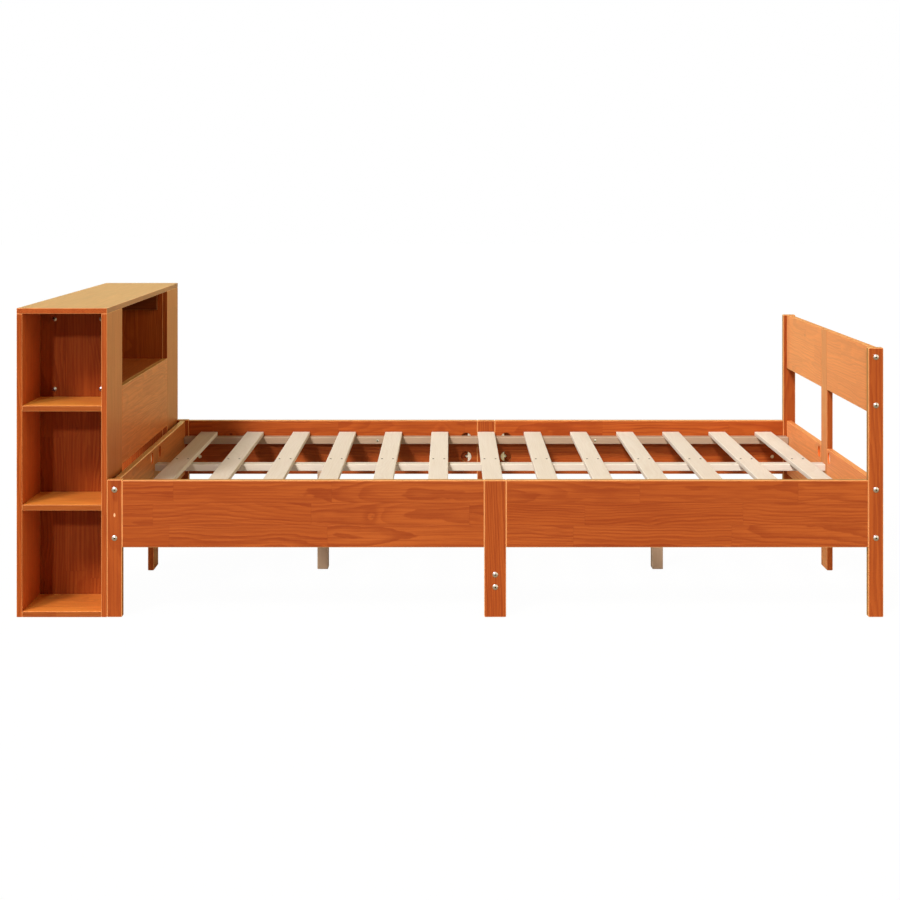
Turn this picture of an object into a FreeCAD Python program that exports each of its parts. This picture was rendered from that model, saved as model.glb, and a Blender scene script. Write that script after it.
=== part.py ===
import FreeCAD, Part
import math
import os

# Bookcase headboard bed in stained pine, in millimetres.
# The origin is on the floor under the middle of the whole bed. +X runs from the bookcase at
# the head to the footboard, +Y to the left of someone lying on their back, +Z is up.
# "right" in a name is the -Y side and "left" the +Y side.

# ---- Driving dimensions ----

# What the bed holds
mattress_length = 2000.0
mattress_width = 1200.0
mattress_end_gap = 1.0
mattress_side_gap = 2.5

# Posts, legs, rails and boards of the bed frame
rail_thickness = 25.0
rail_height = 178.0
rail_bottom = 185.0
post_width = 40.0
head_post_height = 365.0
foot_post_height = 715.0
panel_thickness = 18.0
foot_panel_height = 178.0
mid_post_width = 84.0
centre_leg_width = 58.0
frame_rounding = 3.0

# Low bar between the two centre legs
crossbar_thickness = 20.0
crossbar_height = 65.0
crossbar_bottom = 64.0
crossbar_bolt_spacing = 33.0

# Slats and what carries them
slat_count = 13
slat_width = 56.0
slat_thickness = 13.0
slat_end_gap = 51.4
slat_side_gap = 3.0
slat_rounding = 2.0
slat_screw_spacing = 33.0
ledger_drop = 50.0
ledger_height = 22.0
ledger_width = 43.0
ledger_end_gap = 2.0
ledger_screw_reaches = (150.0, 360.0, 800.0)
beam_width = 45.0
beam_height = 20.0
beam_leg_width = 32.0
beam_leg_offset = 500.0

# Bookcase
case_depth = 240.0
case_height = 820.0
case_board = 15.0
case_rounding = 1.5
cubby_depth = 210.0
lower_cubby_height = 268.0
middle_cubby_height = 248.0
niche_height = 216.0
niche_panel_height = 217.0
cleat_length = 180.0
cleat_thickness = 20.0
cleat_height = 58.0
partition_bolt_spacing = 129.0

# Bolts with domed heads, their barrel nuts, and the rods with half-moon washers
bolt_radius = 3.0
bolt_head_radius = 7.3
bolt_head_height = 3.2
head_rim_share = 0.3
bolt_socket_width = 4.0
bolt_socket_depth = 2.0
post_bolt_length = 60.0
post_bolt_margin = 25.0
rail_bolt_length = 80.0
rail_bolt_recess = 6.0
rail_bolt_spacing = 62.0
recess_clearance = 1.0
barrel_radius = 6.0
barrel_length = 14.0
barrel_inset = 37.0
panel_barrel_inset = 30.0
moon_hole_radius = 17.5
moon_washer_width = 10.0
moon_chord = 6.0
moon_inset = 37.5
panel_moon_inset = 30.0
rod_nut_width = 10.0
rod_nut_height = 5.0
rod_overhang = 3.0
partition_bolt_head_radius = 6.3
partition_bolt_head_height = 2.6
shelf_bolt_length = 50.0
cleat_bolt_length = 32.0

# Wood screws and dowels
slat_screw_radius = 1.75
slat_screw_length = 30.0
long_screw_radius = 2.25
long_screw_length = 60.0
case_screw_radius = 2.0
case_screw_length = 40.0
case_screw_heights = (60.0, 160.0)
screw_head_ratio = 2.0
screw_tip_length = 5.0
dowel_radius = 4.0
dowel_length = 30.0
dowel_face_depth = 10.0
dowel_margin = 45.0
partition_dowel_heights = (90.0, 330.0, 690.0)
fit_gap = 0.1
dowel_end_gap = 0.5

# ---- Places that follow from them ----

inner_length = mattress_length + 2 * mattress_end_gap
inner_width = mattress_width + 2 * mattress_side_gap
bed_length = inner_length + panel_thickness + post_width
side_outer = inner_width / 2 + rail_thickness
side_inner = inner_width / 2
side_line = side_inner + rail_thickness / 2

case_rear = -(case_depth + bed_length) / 2
case_front = case_rear + case_depth
bed_foot = case_front + bed_length
bed_middle = (case_front + bed_foot) / 2
case_middle = (case_rear + case_front) / 2

rail_top = rail_bottom + rail_height
ledger_top = rail_top - ledger_drop
ledger_bottom = ledger_top - ledger_height
beam_bottom = ledger_top - beam_height
slat_top = ledger_top + slat_thickness
board_bolt_heights = (rail_bottom + post_bolt_margin, rail_top - post_bolt_margin)
panel_bolt_heights = (
    foot_post_height - foot_panel_height + post_bolt_margin,
    foot_post_height - post_bolt_margin,
)
rail_middle = rail_bottom + rail_height / 2
rail_bolt_heights = (rail_middle - rail_bolt_spacing / 2, rail_middle + rail_bolt_spacing / 2)

case_underside = case_height - case_board
tower_inner = side_outer - cubby_depth - case_board
partition_face = side_outer - cubby_depth
partition_line = tower_inner + case_board / 2
inner_rear = case_rear + case_board
inner_front = case_front - case_board
shelf_bottoms = (
    0.0,
    case_board + lower_cubby_height,
    2 * case_board + lower_cubby_height + middle_cubby_height,
)
niche_floor = case_underside - niche_height
niche_panel_bottom = niche_floor - niche_panel_height

RIGHT_LEFT = ((-1, "right"), (1, "left"))
HEAD_FOOT = ((-1, "head"), (1, "foot"))
ALONG_X = FreeCAD.Vector(1, 0, 0)
ALONG_Y = FreeCAD.Vector(0, 1, 0)
ALONG_Z = FreeCAD.Vector(0, 0, 1)

pieces = {}
bores = {}


# ---- Making and placing solids ----

def point(x, y, z):
    """A place in the bed's own frame."""
    return FreeCAD.Vector(x, y, z)


def board(x_ends, y_ends, z_ends, rounding):
    """A board between two places each way, with every edge rounded."""
    low = point(min(x_ends), min(y_ends), min(z_ends))
    high = point(max(x_ends), max(y_ends), max(z_ends))
    size = high - low
    solid = Part.makeBox(size.x, size.y, size.z, low)
    radius = min(rounding, 0.3 * min(size.x, size.y, size.z))
    return solid.makeFillet(radius, solid.Edges)


def add(node, solid):
    """Put one solid in a node. Identical pieces share a node as separate solids."""
    pieces.setdefault(node, []).append(solid)


def aim(solid, start, direction):
    """Move a solid made along +Z at the origin to start, pointing along direction."""
    placed = solid.copy()
    placed.Placement = FreeCAD.Placement(start, FreeCAD.Rotation(ALONG_Z, direction))
    return placed


def turned(outline):
    """The solid of revolution about Z of an outline of (radius, height) points and arcs."""
    edges = []
    for line in outline:
        ends = [point(radius, 0, height) for radius, height in line]
        if len(ends) == 3:
            edges.append(Part.Arc(*ends).toShape())
        else:
            edges.append(Part.makeLine(*ends))
    face = Part.Face(Part.Wire(edges))
    return face.revolve(point(0, 0, 0), ALONG_Z, 360)


def hexagon(width, height):
    """A hexagonal prism on the XY plane, width across its flats."""
    corner_radius = width / math.sqrt(3)
    corners = []
    for corner in range(7):
        angle = math.radians(60 * corner)
        corners.append(point(corner_radius * math.cos(angle), corner_radius * math.sin(angle), 0))
    return Part.Face(Part.makePolygon(corners)).extrude(ALONG_Z * height)


def drill(nodes, start, direction, radius, depth):
    """Take a round hole, from start along direction, out of each of the nodes."""
    cutter = Part.makeCylinder(radius, depth, start, direction)
    for node in nodes:
        bores.setdefault(node, []).append(cutter)


# ---- Fasteners ----

def domed_bolt(head_radius, head_height, length):
    """A bolt along +Z, with its domed head below the origin and a hexagon socket in it."""
    rim = head_height * head_rim_share
    rise = head_height - rim
    dome_radius = (head_radius ** 2 + rise ** 2) / (2 * rise)
    half_angle = math.asin(head_radius / dome_radius) / 2
    shoulder = (dome_radius * math.sin(half_angle),
                dome_radius * (1 - math.cos(half_angle)) - head_height)
    crown = turned([
        ((0, -head_height), shoulder, (head_radius, -rim)),
        ((head_radius, -rim), (head_radius, 0)),
        ((head_radius, 0), (0, 0)),
        ((0, 0), (0, -head_height)),
    ])
    shank = Part.makeCylinder(bolt_radius, length)
    socket = hexagon(bolt_socket_width, bolt_socket_depth)
    socket.translate(point(0, 0, -head_height))
    return crown.fuse(shank).removeSplitter().cut(socket)


def wood_screw(radius, length):
    """A countersunk screw along +Z, with its flat head level with the origin."""
    head_radius = radius * screw_head_ratio
    head_depth = head_radius - radius
    return turned([
        ((0, 0), (head_radius, 0)),
        ((head_radius, 0), (radius, head_depth)),
        ((radius, head_depth), (radius, length - screw_tip_length)),
        ((radius, length - screw_tip_length), (0, length)),
        ((0, length), (0, 0)),
    ])


def fit_screw(node, wood, start, direction, radius, length):
    """Add a countersunk screw and the hole it fills in the pieces of wood."""
    add(node, aim(wood_screw(radius, length), start, direction))
    hole = aim(wood_screw(radius + fit_gap, length + fit_gap), start, direction)
    for piece in wood:
        bores.setdefault(piece, []).append(hole)


def fit_bolt(node, clamped, start, direction, length, recess=0.0):
    """Add a domed bolt through the clamped pieces, its head in a recess if there is one."""
    seat = start + direction * recess
    add(node, aim(domed_bolt(bolt_head_radius, bolt_head_height, length), seat, direction))
    drill(clamped, start, direction, bolt_radius + fit_gap, length + recess)
    if recess:
        drill(clamped[:1], start, direction, bolt_head_radius + recess_clearance, recess)


def fit_barrel(wood, centre, inward, thickness, bolt_direction):
    """Add a barrel nut across a bolt, in a blind hole from the face of a board."""
    barrel = Part.makeCylinder(barrel_radius, barrel_length, centre - inward * (barrel_length / 2),
                               inward)
    thread = Part.makeCylinder(bolt_radius + fit_gap, 2 * barrel_radius,
                               centre - bolt_direction * barrel_radius, bolt_direction)
    add("barrel_nuts", barrel.cut(thread))
    mouth = centre - inward * (thickness / 2)
    depth = thickness / 2 + barrel_length / 2 + fit_gap
    drill([wood], mouth, inward, barrel_radius + fit_gap, depth)


def fit_moon_nut(wood, centre, inward, thickness, towards):
    """Add a half-moon washer and a nut in a wide blind hole, bearing towards the joint."""
    hole_depth = thickness / 2 + moon_washer_width / 2
    drill([wood], centre - inward * (thickness / 2), inward, moon_hole_radius, hole_depth)
    disc = Part.makeCylinder(moon_hole_radius - fit_gap, moon_washer_width,
                             centre - inward * (moon_washer_width / 2), inward)
    reach = 2 * moon_hole_radius
    keep = Part.makeCylinder(reach, reach, centre + towards * moon_chord, towards)
    thread = Part.makeCylinder(bolt_radius + fit_gap, reach, centre, towards)
    add("half_moon_washers", disc.common(keep).cut(thread))
    nut = hexagon(rod_nut_width, rod_nut_height).cut(
        Part.makeCylinder(bolt_radius + fit_gap, rod_nut_height))
    add("rod_nuts", aim(nut, centre + towards * (moon_chord - rod_nut_height), towards))


def fit_rod(middle_piece, side_pieces, centre, direction, middle_width, inset, inward, thickness):
    """Join the two pieces beside a middle piece with a threaded rod and two half-moon nuts."""
    nut_back = inset - moon_chord + rod_nut_height
    half = middle_width / 2 + nut_back + rod_overhang
    add("joining_rods", Part.makeCylinder(bolt_radius, 2 * half, centre - direction * half,
                                          direction))
    drill([middle_piece, *side_pieces], centre - direction * half, direction,
          bolt_radius + fit_gap, 2 * half)
    for sign, side_piece in zip((-1, 1), side_pieces):
        hole_centre = centre + direction * (sign * (middle_width / 2 + inset))
        fit_moon_nut(side_piece, hole_centre, inward, thickness, direction * -sign)


def fit_dowel(pieces_joined, start, direction, first_depth):
    """Add a dowel across the joint at start, first_depth into the piece behind it."""
    back = start - direction * first_depth
    add("wooden_dowels", Part.makeCylinder(dowel_radius, dowel_length, back, direction))
    drill(pieces_joined, back - direction * dowel_end_gap, direction, dowel_radius + fit_gap,
          dowel_length + 2 * dowel_end_gap)


# ---- Bed frame ----

def make_posts_and_boards():
    """The corner posts and mid posts, with the boards of the head and foot between them."""
    board_z = (rail_bottom, rail_top)
    panel_z = (foot_post_height - foot_panel_height, foot_post_height)
    ends = (("head", -1, head_post_height, rail_top), ("foot", 1, foot_post_height, foot_post_height))
    for end, outward, post_height, mid_post_height in ends:
        line = bed_middle + outward * (bed_length - post_width) / 2
        thick = (line - panel_thickness / 2, line + panel_thickness / 2)
        mid_post = end + "_mid_post"
        outer_face = ALONG_X * -outward
        add(mid_post, board(thick, (-mid_post_width / 2, mid_post_width / 2),
                            (0, mid_post_height), frame_rounding))
        for side, hand in RIGHT_LEFT:
            post = end + "_post_" + hand
            post_x = (line - post_width / 2, line + post_width / 2)
            add(post, board(post_x, (side * side_outer, side * side_inner), (0, post_height),
                            frame_rounding))
            board_y = (side * side_inner, side * mid_post_width / 2)
            levels = [(end + "_board_" + hand, board_z, board_bolt_heights)]
            if end == "foot":
                levels.append(("foot_panel_" + hand, panel_z, panel_bolt_heights))
            for name, z_ends, bolt_heights in levels:
                add(name, board(thick, board_y, z_ends, frame_rounding))
                for height in bolt_heights:
                    fit_bolt("post_bolts", [post, name], point(line, side * side_outer, height),
                             ALONG_Y * -side, post_bolt_length)
                    barrel = point(line, side * (side_inner - panel_barrel_inset), height)
                    fit_barrel(name, barrel, outer_face, panel_thickness, ALONG_Y)
                    if z_ends == panel_z:
                        fit_dowel([mid_post, name], point(line, side * mid_post_width / 2, height),
                                  ALONG_Y * side, dowel_length / 2)
        side_boards = [end + "_board_right", end + "_board_left"]
        for height in board_bolt_heights:
            fit_rod(mid_post, side_boards, point(line, 0, height), ALONG_Y, mid_post_width,
                    panel_moon_inset, ALONG_X * outward, panel_thickness)


def make_side_rails():
    """Each side's two half rails, with the centre leg that they meet at."""
    for side, hand in RIGHT_LEFT:
        leg = "centre_leg_" + hand
        thick = (side * side_outer, side * side_inner)
        leg_x = (bed_middle - centre_leg_width / 2, bed_middle + centre_leg_width / 2)
        add(leg, board(leg_x, thick, (0, rail_top), frame_rounding))
        rails = []
        for outward, end in HEAD_FOOT:
            rail = "side_rail_" + end + "_" + hand
            rails.append(rail)
            bed_end = bed_middle + outward * bed_length / 2
            post_face = bed_end - outward * post_width
            leg_face = bed_middle + outward * centre_leg_width / 2
            add(rail, board((post_face, leg_face), thick, (rail_bottom, rail_top), frame_rounding))
            for height in rail_bolt_heights:
                fit_bolt("rail_bolts", [end + "_post_" + hand, rail],
                         point(bed_end, side * side_line, height), ALONG_X * -outward,
                         rail_bolt_length, rail_bolt_recess)
                barrel = point(post_face - outward * barrel_inset, side * side_line, height)
                fit_barrel(rail, barrel, ALONG_Y * side, rail_thickness, ALONG_X)
        for height in rail_bolt_heights:
            fit_rod(leg, rails, point(bed_middle, side * side_line, height), ALONG_X,
                    centre_leg_width, moon_inset, ALONG_Y * side, rail_thickness)


def make_crossbar():
    """The low bar that ties the two centre legs together."""
    bar_x = (bed_middle - crossbar_thickness / 2, bed_middle + crossbar_thickness / 2)
    bar_z = (crossbar_bottom, crossbar_bottom + crossbar_height)
    add("centre_crossbar", board(bar_x, (-side_inner, side_inner), bar_z, slat_rounding))
    bar_middle = crossbar_bottom + crossbar_height / 2
    for side, hand in RIGHT_LEFT:
        for half_spacing in (-crossbar_bolt_spacing / 2, crossbar_bolt_spacing / 2):
            height = bar_middle + half_spacing
            fit_bolt("post_bolts", ["centre_leg_" + hand, "centre_crossbar"],
                     point(bed_middle, side * side_outer, height), ALONG_Y * -side,
                     post_bolt_length)
            barrel = point(bed_middle, side * (side_inner - panel_barrel_inset), height)
            fit_barrel("centre_crossbar", barrel, ALONG_X, crossbar_thickness, ALONG_Y)


def make_slat_supports():
    """The ledgers along the side rails, and the middle beam on its two legs."""
    for side, hand in RIGHT_LEFT:
        for outward, end in HEAD_FOOT:
            outer_end = bed_middle + outward * (inner_length / 2 - ledger_end_gap)
            inner_end = bed_middle + outward * ledger_end_gap / 2
            inner_face = side_inner - ledger_width
            add("slat_ledgers", board((outer_end, inner_end),
                                      (side * inner_face, side * side_inner),
                                      (ledger_bottom, ledger_top), slat_rounding))
            for reach in ledger_screw_reaches:
                start = point(bed_middle + outward * reach, side * inner_face,
                              (ledger_bottom + ledger_top) / 2)
                fit_screw("long_screws", ["slat_ledgers", "side_rail_" + end + "_" + hand], start,
                          ALONG_Y * side, long_screw_radius, long_screw_length)
    for outward, end in HEAD_FOOT:
        beam = "middle_beam_" + end
        beam_end = bed_middle + outward * inner_length / 2
        beam_y = (-beam_width / 2, beam_width / 2)
        add(beam, board((bed_middle, beam_end), beam_y, (beam_bottom, ledger_top), slat_rounding))
        start = point(beam_end + outward * panel_thickness, 0, (beam_bottom + ledger_top) / 2)
        fit_screw("long_screws", [end + "_mid_post", beam], start, ALONG_X * -outward,
                  long_screw_radius, long_screw_length)
        leg_middle = bed_middle + outward * beam_leg_offset
        leg_x = (leg_middle - beam_leg_width / 2, leg_middle + beam_leg_width / 2)
        add("beam_legs", board(leg_x, beam_y, (0, beam_bottom), slat_rounding))
        fit_dowel([beam, "beam_legs"], point(leg_middle, 0, beam_bottom), ALONG_Z * -1,
                  dowel_face_depth)


def make_slats():
    """The slats, each held at its middle by two screws into the beam."""
    pitch = (inner_length - 2 * slat_end_gap - slat_width) / (slat_count - 1)
    first = bed_middle - pitch * (slat_count - 1) / 2
    half_length = side_inner - slat_side_gap
    for number in range(slat_count):
        slat = f"slat_{number + 1:02d}"
        middle = first + number * pitch
        add(slat, board((middle - slat_width / 2, middle + slat_width / 2),
                        (-half_length, half_length), (ledger_top, slat_top), slat_rounding))
        for offset in (-slat_screw_spacing / 2, slat_screw_spacing / 2):
            beams = ["middle_beam_head", "middle_beam_foot"]
            fit_screw("slat_screws", [slat, *beams], point(middle + offset, 0, slat_top),
                      ALONG_Z * -1, slat_screw_radius, slat_screw_length)


# ---- Bookcase ----

def make_towers():
    """The two open-ended towers: a rear and a front board, a partition and three shelves."""
    inner_x = (inner_rear, inner_front)
    walls = (("rear", case_rear, inner_rear, -1), ("front", case_front, inner_front, 1))
    for side, hand in RIGHT_LEFT:
        partition = "tower_partition_" + hand
        shelves = "tower_shelves_" + hand
        add(partition, board(inner_x, (side * tower_inner, side * partition_face),
                             (0, case_underside), case_rounding))
        for bottom in shelf_bottoms:
            add(shelves, board(inner_x, (side * partition_face, side * side_outer),
                               (bottom, bottom + case_board), case_rounding))
        for wall, outer, joint, outward in walls:
            name = "tower_" + wall + "_board_" + hand
            add(name, board((outer, joint), (side * tower_inner, side * side_outer),
                            (0, case_underside), case_rounding))
            for height in partition_dowel_heights:
                fit_dowel([name, partition], point(joint, side * partition_line, height),
                          ALONG_X * -outward, dowel_face_depth)
            for bottom in shelf_bottoms:
                for place in (side_outer - dowel_margin, partition_face + dowel_margin):
                    fit_dowel([name, shelves], point(joint, side * place, bottom + case_board / 2),
                              ALONG_X * -outward, dowel_face_depth)
            for place in (side_outer - dowel_margin, tower_inner + dowel_margin):
                fit_dowel(["bookcase_top", name],
                          point((outer + joint) / 2, side * place, case_underside), ALONG_Z * -1,
                          dowel_face_depth)
        for height in case_screw_heights:
            fit_screw("case_fixing_screws", ["tower_front_board_" + hand, "head_post_" + hand],
                      point(inner_front, side * side_line, height), ALONG_X,
                      case_screw_radius, case_screw_length)


def make_top_and_niche():
    """The top over both towers, and the shelf, front panel and back panel between them."""
    add("bookcase_top", board((case_rear, case_front), (-side_outer, side_outer),
                              (case_underside, case_height), case_rounding))
    niche_y = (-tower_inner, tower_inner)
    shelf_z = (niche_floor - case_board, niche_floor)
    add("niche_shelf", board((inner_rear, inner_front), niche_y, shelf_z, case_rounding))
    add("niche_front_panel", board((inner_front, case_front), niche_y,
                                   (niche_panel_bottom, niche_floor), case_rounding))
    add("niche_back_panel", board((case_rear, inner_rear), niche_y,
                                  (niche_floor - case_board, case_underside), case_rounding))
    shelf_line = niche_floor - case_board / 2
    for side, hand in RIGHT_LEFT:
        quarter = side * tower_inner / 2
        fit_dowel(["niche_front_panel", "niche_shelf"], point(inner_front, quarter, shelf_line),
                  ALONG_X * -1, dowel_face_depth)
        fit_dowel(["bookcase_top", "niche_back_panel"],
                  point(case_rear + case_board / 2, quarter, case_underside), ALONG_Z * -1,
                  dowel_face_depth)
        panels = (
            ("niche_front_panel", "tower_front_board_", case_front, niche_panel_bottom, niche_floor),
            ("niche_back_panel", "tower_rear_board_", inner_rear, niche_floor, case_underside),
        )
        for panel, wall, outer_x, bottom, top in panels:
            for height in (bottom + dowel_margin, top - dowel_margin):
                fit_dowel([panel, wall + hand],
                          point(outer_x - case_board / 2, side * tower_inner, height),
                          ALONG_Y * side, dowel_length / 2)


def make_cleats_and_bolts():
    """The cleats under the top, and the bolts through the partitions to cleats and shelf."""
    cleat_line = case_underside - cleat_height / 2
    shelf_line = niche_floor - case_board / 2
    cleat_x = (case_middle - cleat_length / 2, case_middle + cleat_length / 2)
    for side, hand in RIGHT_LEFT:
        add("top_cleats", board(cleat_x, (side * (tower_inner - cleat_thickness),
                                          side * tower_inner),
                                (case_underside - cleat_height, case_underside), case_rounding))
        joints = (("top_cleats", cleat_line, cleat_bolt_length),
                  ("niche_shelf", shelf_line, shelf_bolt_length))
        for offset in (-partition_bolt_spacing / 2, partition_bolt_spacing / 2):
            for target, height, length in joints:
                start = point(case_middle + offset, side * partition_face, height)
                bolt = domed_bolt(partition_bolt_head_radius, partition_bolt_head_height, length)
                add("partition_bolts", aim(bolt, start, ALONG_Y * -side))
                drill(["tower_partition_" + hand, target], start, ALONG_Y * -side,
                      bolt_radius + fit_gap, length)
            fit_dowel(["bookcase_top", "top_cleats"],
                      point(case_middle + offset / 2, side * (tower_inner - cleat_thickness / 2),
                            case_underside), ALONG_Z * -1, dowel_face_depth)


# ---- Writing the pieces ----

def write_pieces():
    """Cut each piece's holes and write one file for each node."""
    os.makedirs("parts", exist_ok=True)
    for node, solids in pieces.items():
        finished = []
        for solid in solids:
            near = [bore for bore in bores.get(node, []) if bore.BoundBox.intersect(solid.BoundBox)]
            drilled = solid.cut(near) if near else solid
            finished.extend(drilled.Solids)
        shape = finished[0] if len(finished) == 1 else Part.makeCompound(finished)
        shape.exportStep("parts/" + node + ".step")
        print(node, len(finished), "solid(s)", round(shape.Volume / 1000), "cm3", shape.isValid())


make_posts_and_boards()
make_side_rails()
make_crossbar()
make_slat_supports()
make_slats()
make_towers()
make_top_and_niche()
make_cleats_and_bolts()
write_pieces()
print(len(pieces), "nodes")
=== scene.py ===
import math

import bmesh
import bpy
from mathutils import Matrix, Vector


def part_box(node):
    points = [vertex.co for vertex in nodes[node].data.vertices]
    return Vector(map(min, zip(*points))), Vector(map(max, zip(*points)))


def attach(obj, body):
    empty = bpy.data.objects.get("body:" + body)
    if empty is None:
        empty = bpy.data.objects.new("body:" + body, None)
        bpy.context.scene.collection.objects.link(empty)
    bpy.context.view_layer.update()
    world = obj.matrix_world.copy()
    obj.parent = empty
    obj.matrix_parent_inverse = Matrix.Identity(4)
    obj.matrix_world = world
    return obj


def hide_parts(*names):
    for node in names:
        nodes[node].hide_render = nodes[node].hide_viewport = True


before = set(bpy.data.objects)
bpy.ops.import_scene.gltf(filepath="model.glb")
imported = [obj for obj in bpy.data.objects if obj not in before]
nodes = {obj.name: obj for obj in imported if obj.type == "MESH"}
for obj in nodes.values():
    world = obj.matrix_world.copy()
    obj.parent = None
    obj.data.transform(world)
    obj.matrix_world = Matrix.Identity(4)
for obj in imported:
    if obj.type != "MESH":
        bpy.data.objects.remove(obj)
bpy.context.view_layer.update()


# ---- The studio ----
# The bed stands on a pale seamless floor in an all-white studio. The camera looks at its right
# side, level and square to the rails, from a little over the height of the bookcase; a shifted
# lens brings the bed down into the middle of the frame.

near_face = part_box("side_rail_head_right")[0].y
camera_distance = 4.82
camera_height = 1.144
frame_pixels = 900
pixels_per_metre = 377.0
horizon_pixel = 186
sensor_width = 36.0

camera_data = bpy.data.cameras.new("camera")
camera_data.sensor_width = sensor_width
camera_data.lens = sensor_width * pixels_per_metre * camera_distance / frame_pixels
camera_data.shift_y = (horizon_pixel - frame_pixels / 2) / frame_pixels
camera = bpy.data.objects.new("camera", camera_data)
camera.location = (0.0, near_face - camera_distance, camera_height)
camera.rotation_euler = (math.radians(90), 0.0, 0.0)
bpy.context.scene.collection.objects.link(camera)
bpy.context.scene.camera = camera
bpy.context.scene.view_settings.view_transform = "Standard"


def far_softbox(name, travel, spread, power, colour):
    """A far lamp whose light travels one way; a wide spread, in degrees, gives soft shadows."""
    data = bpy.data.lights.new(name, "SUN")
    data.energy = power
    data.angle = math.radians(spread)
    data.color = colour
    lamp = bpy.data.objects.new(name, data)
    lamp.rotation_euler = Vector(travel).to_track_quat("-Z", "Y").to_euler()
    bpy.context.scene.collection.objects.link(lamp)


softbox_white = (1.0, 0.99, 0.96)
lamp_white = (1.0, 0.97, 0.93)
fill_gold = (1.0, 0.82, 0.55)
far_softbox("key_softbox", travel=(0.55, 1.0, -1.05), spread=14, power=3.0, colour=softbox_white)
far_softbox("head_softbox", travel=(1.0, 0.45, -0.9), spread=40, power=1.0, colour=softbox_white)
far_softbox("foot_fill", travel=(-1.0, 0.6, -0.35), spread=50, power=1.35, colour=fill_gold)
far_softbox("low_front_lamp", travel=(0.18, 1.0, -0.376), spread=3, power=0.8, colour=lamp_white)


def wire(tree, kind, inputs=None, **settings):
    """A node of a kind in a tree; each input, by name or number, gets a value or a link."""
    node = tree.nodes.new(kind)
    for name, value in settings.items():
        setattr(node, name, value)
    for key, value in (inputs or {}).items():
        if isinstance(value, bpy.types.NodeSocket):
            tree.links.new(value, node.inputs[key])
        else:
            node.inputs[key].default_value = value
    return node


def maths(tree, operation, *values):
    """One step of arithmetic on numbers or on other nodes' outputs."""
    return wire(tree, "ShaderNodeMath", dict(enumerate(values)), operation=operation).outputs[0]


def blend_colours(tree, share, first, second):
    """The first colour, with a share of the second laid over it."""
    mix = wire(tree, "ShaderNodeMix", {0: share, 6: first, 7: second}, data_type="RGBA")
    return mix.outputs[2]


# The camera sees a white room. The room lights the bed only faintly, and the varnish mirrors it
# brighter and golden.
room_light = 0.05
room_gloss = 1.8
room_white = (1.0, 1.0, 1.0, 1.0)
room_in_varnish = (1.0, 0.95, 0.42, 1.0)
studio_white = bpy.data.worlds.new("studio_white")
studio_white.use_nodes = True
bpy.context.scene.world = studio_white
air = studio_white.node_tree
ray = wire(air, "ShaderNodeLightPath").outputs
gloss_strength = maths(air, "MULTIPLY_ADD", ray["Is Glossy Ray"], room_gloss - room_light,
                       room_light)
seen_strength = maths(air, "MAXIMUM", gloss_strength, ray["Is Camera Ray"])
room_colour = blend_colours(air, ray["Is Glossy Ray"], room_white, room_in_varnish)
air.links.new(room_colour, air.nodes["Background"].inputs["Color"])
air.links.new(seen_strength, air.nodes["Background"].inputs["Strength"])

# The camera sees the floor glow white, with a faint shadow on it. It lights the bed as a grey
# floor would, and the varnish mirrors it golden.
floor_reach = 30.0
floor_roughness = 0.9
floor_glow = 1.02
floor_shadow_share = 0.04
floor_in_light = (0.5, 0.5, 0.5, 1.0)
floor_in_varnish = (0.8, 0.66, 0.3, 1.0)
floor_mesh = bpy.data.meshes.new("floor")
floor_mesh.from_pydata([(-floor_reach, -floor_reach, 0.0), (floor_reach, -floor_reach, 0.0),
                        (floor_reach, floor_reach, 0.0), (-floor_reach, floor_reach, 0.0)],
                       [], [(0, 1, 2, 3)])
floor = bpy.data.objects.new("floor", floor_mesh)
bpy.context.scene.collection.objects.link(floor)
floor_paint = bpy.data.materials.new("floor_white")
floor_paint.use_nodes = True
paint = floor_paint.node_tree
floor_shader = paint.nodes["Principled BSDF"]
floor_shader.inputs["Roughness"].default_value = floor_roughness
ray = wire(paint, "ShaderNodeLightPath").outputs
floor_colour = blend_colours(paint, ray["Is Glossy Ray"], floor_in_light, floor_in_varnish)
paint.links.new(floor_colour, floor_shader.inputs["Base Color"])
glow = wire(paint, "ShaderNodeEmission", {"Strength": floor_glow})
glow_share = maths(paint, "MULTIPLY", ray["Is Camera Ray"], 1.0 - floor_shadow_share)
floor_mix = wire(paint, "ShaderNodeMixShader",
                 {0: glow_share, 1: floor_shader.outputs["BSDF"], 2: glow.outputs["Emission"]})
paint.links.new(floor_mix.outputs[0], paint.nodes["Material Output"].inputs["Surface"])
floor_mesh.materials.append(floor_paint)


# ---- The corner posts ----
# Four posts of solid pine, sawn to 40 x 25 mm, planed and rounded over, then stained a warm orange
# under satin varnish. The grain runs up them, and a painted highlight runs along the arrises.

def new_group(name, kind, given, made):
    """An empty node group with named sockets: the tree, what it is given and what it makes."""
    tree = bpy.data.node_groups.new(name, kind)
    for title, (socket, value) in given.items():
        entry = tree.interface.new_socket(title, in_out="INPUT", socket_type="NodeSocket" + socket)
        if value is not None:
            entry.default_value = value
    for title, socket in made.items():
        tree.interface.new_socket(title, in_out="OUTPUT", socket_type="NodeSocket" + socket)
    return tree, tree.nodes.new("NodeGroupInput").outputs, tree.nodes.new("NodeGroupOutput").inputs


def vectors(tree, operation, *values):
    """One step of arithmetic on vectors."""
    inputs = dict(enumerate(values))
    return wire(tree, "ShaderNodeVectorMath", inputs, operation=operation).outputs[0]


def parts_of(tree, vector):
    """The x, y and z of a vector."""
    return wire(tree, "ShaderNodeSeparateXYZ", {0: vector}).outputs


def together(tree, x, y, z):
    """A vector from its x, y and z."""
    return wire(tree, "ShaderNodeCombineXYZ", {0: x, 1: y, 2: z}).outputs[0]


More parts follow.
